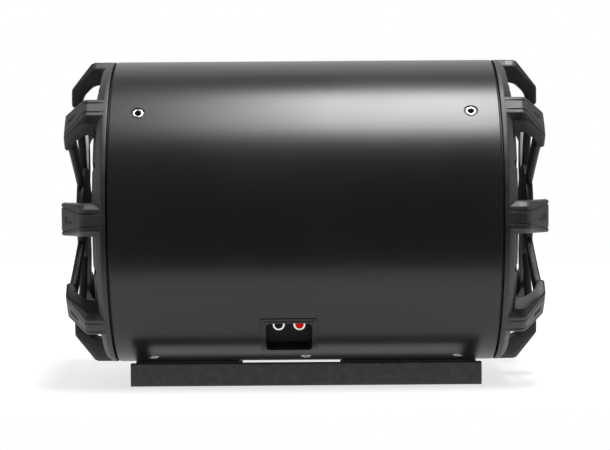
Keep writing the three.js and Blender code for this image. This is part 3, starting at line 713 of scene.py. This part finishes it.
def along_path(name, spots, radius, sides):
    """A round wire: circles of the given radius set square to a path, turned least from one to the next."""
    spots = np.asarray(spots, float)
    tangent = np.gradient(spots, axis=0)
    tangent /= np.linalg.norm(tangent, axis=1, keepdims=True)
    normal = np.empty_like(spots)
    start = np.cross(tangent[0], [0.3, 0.5, 0.8])
    normal[0] = start / np.linalg.norm(start)
    for k in range(1, len(spots)):
        carried = normal[k - 1] - tangent[k] * (normal[k - 1] @ tangent[k])
        normal[k] = carried / np.linalg.norm(carried)
    side = np.cross(tangent, normal)
    angle = np.linspace(0, 2 * pi, sides, endpoint=False)[None, :, None]
    ring = spots[:, None] + radius * (np.cos(angle) * normal[:, None] + np.sin(angle) * side[:, None])
    return closed_piece(name, ring.reshape(-1, 3), rod_faces(len(spots), sides), 50)


stem_corners = [[-8, 0], [-8, 3.4], [5.8, 3.4], [5.8, 0]]
cap_corners = [
    [9.6, 0], [9.6, 5.5], [4.8, 5.5], [4.8, 6.25], [13, 6.25], [13, 3.95], [10.4, 3.95], [10.4, 0],
]
cap_soft = [0, 0.2, 0.2, 0.3, 1.0, 0.5, 0.1, 0]
centre_corners = [[10.7, 0], [10.7, 3.9], [12.6, 3.9], [12.95, 2.8], [12.95, 0]]
coils, coil_radius, wire_radius = 4.5, 4.45, 0.35
turn = np.linspace(0, 2 * pi * coils, 150)
rise = np.linspace(0.75, 9.0, len(turn))
helix = np.column_stack([rise, coil_radius * np.cos(turn), coil_radius * np.sin(turn)])
for word, look in (("black", post_black), ("red", post_red)):
    place = post_frames[word]
    stem = turned(f"{word}_stem_pin", rounded(stem_corners, [0, 0.4, 0.5, 0], 3), 1, 48, place)
    dress(stem, nickel, "enclosure", "nickel", f"{word}_post_stem")
    cap_piece = turned(f"{word}_cap_shell", rounded(cap_corners, cap_soft, 5), 1, 72, place)
    dress(cap_piece, nickel, f"{word}_post_button", "nickel", f"{word}_post_cap")
    marker = turned(f"{word}_centre_plug", rounded(centre_corners, [0, 0.2, 0.5, 0.8, 0], 4), 1, 48, place)
    dress(marker, look, f"{word}_post_button", f"marker_{word}", f"{word}_post_centre")
    spring = along_path(f"{word}_spring_wire", helix / 1000, wire_radius / 1000, 10)
    spring.data.transform(place)
    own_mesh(spring)
    dress(spring, zinc, "enclosure", "zinc", f"{word}_post_spring")

# ---------------------------------------------------------------- inner wiring
# Two soft copper leads in red and black sheaths, pushed on to the stems' tails and soldered to a
# small strip that is riveted to the basket.
spin_to_cup = tube_frame(0, cup_degrees, 0)
strip_shape = rounded(block(12, 24), 1.2, 4) + [-116, 0]
strip = slab("woofer_lead_strip", strip_shape, 66.6, 78, spin_to_cup)
dress(strip, powder, "enclosure", "powder_coat", "woofer_terminal_strip")


def smooth_route(points, count=120):
    """A Catmull-Rom curve through the points, with its ends' tangents taken from their neighbours."""
    p = np.asarray(points, float)
    p = np.vstack([2 * p[0] - p[1], p, 2 * p[-1] - p[-2]])
    t = np.linspace(0, len(p) - 3 - 1e-9, count)
    k = t.astype(int)
    u = (t - k)[:, None]
    a, b, c, d = p[k], p[k + 1], p[k + 2], p[k + 3]
    return 0.5 * (2 * b + (c - a) * u + (2 * a - 5 * b + 4 * c - d) * u**2 + (3 * b - a - 3 * c + d) * u**3)


sheath_radius = 0.0017
routes = {
    "black": [
        [-38, -17, 108], [-60, -16, 106], [-82, -10, 98], [-97, -6, 85], [-105, -5, 73.3], [-109.7, -5, 73],
    ],
    "red": [
        [-22, -12, 106], [-52, -3, 104], [-82, 2, 97], [-97, 4.6, 85], [-105, 5, 73.3], [-109.7, 5, 73],
    ],
}
for word, look in (("black", post_black), ("red", post_red)):
    to_local = spin_to_cup.inverted() @ post_frames[word]
    starts = [list(to_local @ Vector((x, 0, 0)) * 1000) for x in (-0.0083, -0.012)]
    route = smooth_route([*starts, *routes[word]])
    lead = along_path(f"{word}_lead", route / 1000, sheath_radius, 16)
    lead.data.transform(spin_to_cup)
    dress(lead, look, "enclosure", f"marker_{word}", f"{word}_wire")

# ---------------------------------------------------------------- cradle and saddles
# A folded steel tray in black powder coat, with two long slots in its plate and a window in its far
# flange. Two rubber saddles are screwed to it from below, and the tube is bonded to them.
cradle_low, cradle_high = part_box("cradle")
deep, tall = (cradle_high.y - cradle_low.y) * 500, cradle_high.z * 1000
sheet, lip = 2.4, 10
tray = [
    [-deep, 0], [deep, 0], [deep, tall], [deep - lip, tall], [deep - lip, tall - sheet],
    [deep - sheet, tall - sheet], [deep - sheet, sheet], [sheet - deep, sheet],
    [sheet - deep, tall - sheet], [lip - deep, tall - sheet], [lip - deep, tall], [-deep, tall],
]
tray_soft = [3, 3, 1.0, 0.4, 0.4, 0.5, 0.8, 0.8, 0.5, 0.4, 0.4, 1.0]
reach = cradle_high.x * 1000
cradle = slab("folded_cradle", rounded(tray, tray_soft, 5), -reach, reach, along_x)
gap = slab("gap", rounded(block(102, 24), 3, 4) + [-15, deep], sheet + 0.2, tall + 4)
slots = [slab("slot", rounded(block(312, 42), 4, 4) + [0, y], -3, 6) for y in (-46, 46)]
screw_places = {
    x: Matrix.Translation((x / 1000, 0, 0)) @ Matrix.Rotation(-pi / 2, 4, "Y")
    for x in (-152, -85, 55, 152)
}
sink_corners = [[-1, 0], [-1, 5.6], [2.5, 2.8], [5, 2.8], [5, 0]]
sinks = [turned("sink", sink_corners, 1, 40, place) for place in screw_places.values()]
carved(cradle, [gap, *slots, *sinks])
fold = cradle.modifiers.new("broken_edges", "BEVEL")
fold.width, fold.segments, fold.angle_limit = 0.0004, 2, radians(50)
dress(cradle, powder, "enclosure", "powder_coat", "cradle")

saddle_rubber = finish(
    "saddle_rubber", (0.012, 0.012, 0.0125), (0.020, 0.020, 0.0205), (0.62, 0.8),
    grain=800, bump=0.0001, blotch=60, Specular_IOR_Level=0.3,
)
saddle_outline = rounded([[-22, 2.7], [22, 2.7], [22, 30], [-22, 30]], 1, 3)
bolt_hole = [[0, 0], [0, 2.8], [12.4, 2.8], [12.4, 0]]
seat_radius, past = 150.45, 5
for name, (x0, x1) in {"left_saddle": (-170, -67), "right_saddle": (37, 170)}.items():
    saddle = slab(f"{name}_block", saddle_outline, x0, x1, along_x)
    hollow_corners = [[x0 - past, 0], [x0 - past, seat_radius], [x1 + past, seat_radius], [x1 + past, 0]]
    hollow = turned("hollow", hollow_corners, turns=360)
    bolts = [
        turned("bolt_hole", bolt_hole, 1, 32, place)
        for x, place in screw_places.items() if x0 < x < x1
    ]
    carved(saddle, [hollow, *bolts])
    dress(saddle, saddle_rubber, "enclosure", "rubber", name)

countersunk = rounded([[0.25, 0], [0.25, 4.6], [2.4, 2.5], [12, 2.5], [12, 0]], [0, 0.2, 0.2, 0.5, 0], 3)
hexagon = [[-1, 0], [-1, 1.9], [1.7, 1.9], [1.7, 0]]
for number, place in enumerate(screw_places.values(), 1):
    screw = turned(f"cradle_countersunk_{number}", countersunk, 1, 40, place)
    key = turned("key", hexagon, 1, 6, place)
    carved(screw, [key], sharp=30)
    dress(screw, black_zinc, "enclosure", "zinc", f"cradle_screw_{number}")

# ---------------------------------------------------------------- camera
# A long lens square to the tube's rear side, a little above its axis and tipped up and rolled by a
# fraction of a degree.
scene = bpy.context.scene
centre = Vector((0, 0, axis_height))
distance, azimuth, rise = 2.1908, radians(-0.11), radians(3.1)
tilt, roll = radians(0.38), radians(-0.41)
camera_data = bpy.data.cameras.new("camera")
camera_data.sensor_width = 36
camera_data.lens = 128.46
camera = bpy.data.objects.new("camera", camera_data)
scene.collection.objects.link(camera)
back = Vector((sin(azimuth) * cos(rise), -cos(azimuth) * cos(rise), sin(rise)))
aim = rise + tilt
look_back = Vector((sin(azimuth) * cos(aim), -cos(azimuth) * cos(aim), sin(aim)))
right = Vector((cos(azimuth), sin(azimuth), 0))
up = look_back.cross(right)
turned_right = right * cos(roll) + up * sin(roll)
turned_up = up * cos(roll) - right * sin(roll)
camera.matrix_world = Matrix((turned_right, turned_up, look_back)).transposed().to_4x4()
camera.location = centre + back * distance
scene.camera = camera

# ---------------------------------------------------------------- studio
# A pale table, a bright soft box overhead to the right, a weak one to the left, a panel behind, and
# boxes at the sides and ends. The room is white to the camera and dark to all else, so the satin
# skin keeps its deep black band.
table_reach, table_front, table_back = 2.2, -0.27, 1.5
table = [
    (-table_reach, table_front, 0), (table_reach, table_front, 0),
    (table_reach, table_back, 0), (-table_reach, table_back, 0),
]
table_mesh = bpy.data.meshes.new("pale_table")
table_mesh.from_pydata(table, [], [(0, 1, 2, 3)])
studio = bpy.data.objects.new("pale_table", table_mesh)
scene.collection.objects.link(studio)
paper = bpy.data.materials.new("pale_paper")
paper.use_nodes = True
paper_shader = paper.node_tree.nodes["Principled BSDF"]
paper_shader.inputs["Base Color"].default_value = (0.42, 0.42, 0.42, 1)
paper_shader.inputs["Roughness"].default_value = 0.9
paper_shader.inputs["Emission Color"].default_value = (1, 1, 1, 1)
paper_shader.inputs["Emission Strength"].default_value = 0.68
table_mesh.materials.append(paper)


def soft_box(name, spot, size, radiance):
    """An area light of (width, height) metres at a spot, facing the tube and hidden from cameras. Its
    width stays level, and its power is pi times its area times its radiance."""
    data = bpy.data.lights.new(name, "AREA")
    data.shape = "RECTANGLE"
    data.size, data.size_y = size
    data.energy = radiance * pi * size[0] * size[1]
    box = bpy.data.objects.new(name, data)
    scene.collection.objects.link(box)
    away = (Vector(spot) - centre).normalized()
    level = (Vector((1, 0, 0)) - away * away.x).normalized()
    box.matrix_world = Matrix((level, away.cross(level), away)).transposed().to_4x4()
    box.location = spot
    box.visible_camera = False


soft_box("key_box", (0.21, -0.31, 2.05), (0.54, 1.3), 23)
soft_box("left_box", (-0.60, -0.28, 2.05), (0.9, 1.3), 0.3)
soft_box("back_panel", (0, 2.2, 1.5), (4.0, 2.2), 0.8)
soft_box("left_side_box", (-1.6, -1.3, 0.6), (0.3, 1.1), 6)
soft_box("right_side_box", (1.6, -1.3, 0.6), (0.3, 1.1), 6)
soft_box("woofer_end_box", (-2.3, 0.3, 1.0), (1.4, 1.4), 1.5)
soft_box("radiator_end_box", (2.3, 0.3, 1.0), (1.4, 1.4), 1.5)
world = bpy.data.worlds.new("room")
world.use_nodes = True
room = world.node_tree
seen = room.nodes.new("ShaderNodeBackground")
seen.inputs["Color"].default_value = (1, 1, 1, 1)
lit = room.nodes["Background"]
lit.inputs["Color"].default_value = (0.9, 0.95, 1, 1)
lit.inputs["Strength"].default_value = 0.12
choose = room.nodes.new("ShaderNodeMixShader")
room.links.new(room.nodes.new("ShaderNodeLightPath").outputs["Is Camera Ray"], choose.inputs[0])
room.links.new(lit.outputs[0], choose.inputs[1])
room.links.new(seen.outputs[0], choose.inputs[2])
room.links.new(choose.outputs[0], room.nodes["World Output"].inputs["Surface"])
scene.world = world
scene.view_settings.view_transform = "Standard"
